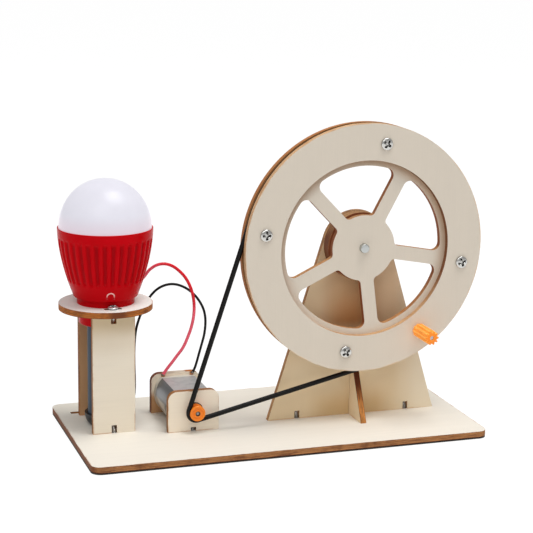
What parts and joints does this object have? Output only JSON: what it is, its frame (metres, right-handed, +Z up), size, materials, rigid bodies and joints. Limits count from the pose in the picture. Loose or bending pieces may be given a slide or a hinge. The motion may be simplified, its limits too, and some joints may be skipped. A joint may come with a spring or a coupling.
{
  "type": "hand crank generator",
  "caption": "Plywood hand crank generator: a spoked crank wheel drives a small motor by a round belt and lights a bulb lamp on a column.",
  "frame": {"origin": "centre of the base board's underside, on the surface it stands on", "axes": "+X to the right along the board's long side, +Y to the back away from the crank handle, +Z up"},
  "size_m": [0.2087, 0.1, 0.1536],
  "materials": {
    "plywood": "raw birch plywood faces with brown laser-cut edges",
    "screw_steel": "bright plated screws",
    "red_plastic": "glossy moulded red",
    "milky_plastic": "milky diffuser with a soft gloss",
    "light_board": "white lacquered board",
    "light_chip": "yellow gel over the chips",
    "cell_wrap": "blue-grey sleeve",
    "black_plastic": "black moulded plastic",
    "motor_steel": "drawn sheet steel",
    "cap_plastic": "off-white moulded plastic",
    "magnet": "dark sintered ferrite",
    "carbon": "pressed carbon",
    "copper": "bare copper",
    "bush_brass": "turned brass",
    "shaft_steel": "drawn steel rod",
    "orange_plastic": "orange moulded plastic",
    "belt_rubber": "black round rubber cord",
    "yellow_plastic": "yellow-orange moulded plastic",
    "red_lead": "soft red insulation",
    "black_lead": "soft black insulation"
  },
  "bodies": {
    "base": {"base_board": "plywood", "board_screws": "screw_steel", "column_front": "plywood", "column_back": "plywood", "lamp_plate": "plywood", "plate_screws": "screw_steel", "lamp_housing": "red_plastic", "lamp_dome": "milky_plastic", "led_board": "light_board", "led_chips": "light_chip", "lamp_cell": "cell_wrap", "cell_foot": "black_plastic", "motor_front_plate": "plywood", "motor_back_plate": "plywood", "motor_can": "motor_steel", "motor_end_cap": "cap_plastic", "motor_magnets": "magnet", "motor_brushes": "carbon", "motor_terminals": "copper", "front_bush": "bush_brass", "rear_bush": "bush_brass", "drive_belt": "belt_rubber", "stand_plate": "plywood", "stand_gusset": "plywood", "front_spacer": "plywood", "back_spacer": "plywood", "red_wire": "red_lead", "black_wire": "black_lead"},
    "wheel": {"front_ring": "plywood", "spoked_disc": "plywood", "back_ring": "plywood", "wheel_screws": "screw_steel", "axle": "shaft_steel", "hub_washer": "screw_steel", "axle_collar": "plywood", "crank_pin": "shaft_steel"},
    "rotor": {"motor_shaft": "shaft_steel", "armature_core": "motor_steel", "armature_windings": "copper", "commutator": "copper", "pulley": "orange_plastic"},
    "handle": {"crank_handle": "yellow_plastic"}
  },
  "joints": [
    {"name": "wheel_spin", "type": "hinge", "parent": "base", "child": "wheel", "pos_m": [0.0443, -0.014, 0.0915], "axis": [0, 1, 0], "continuous": true},
    {"name": "rotor_spin", "type": "hinge", "parent": "base", "child": "rotor", "pos_m": [-0.0404, -0.014, 0.0135], "axis": [0, 1, 0], "continuous": true},
    {"name": "handle_spin", "type": "hinge", "parent": "wheel", "child": "handle", "pos_m": [0.07432, -0.0268, 0.04831], "axis": [0, 1, 0], "continuous": true}
  ],
  "couplings": [
    {"joint": "rotor_spin", "follows": "wheel_spin", "ratio": 14.963}
  ]
}
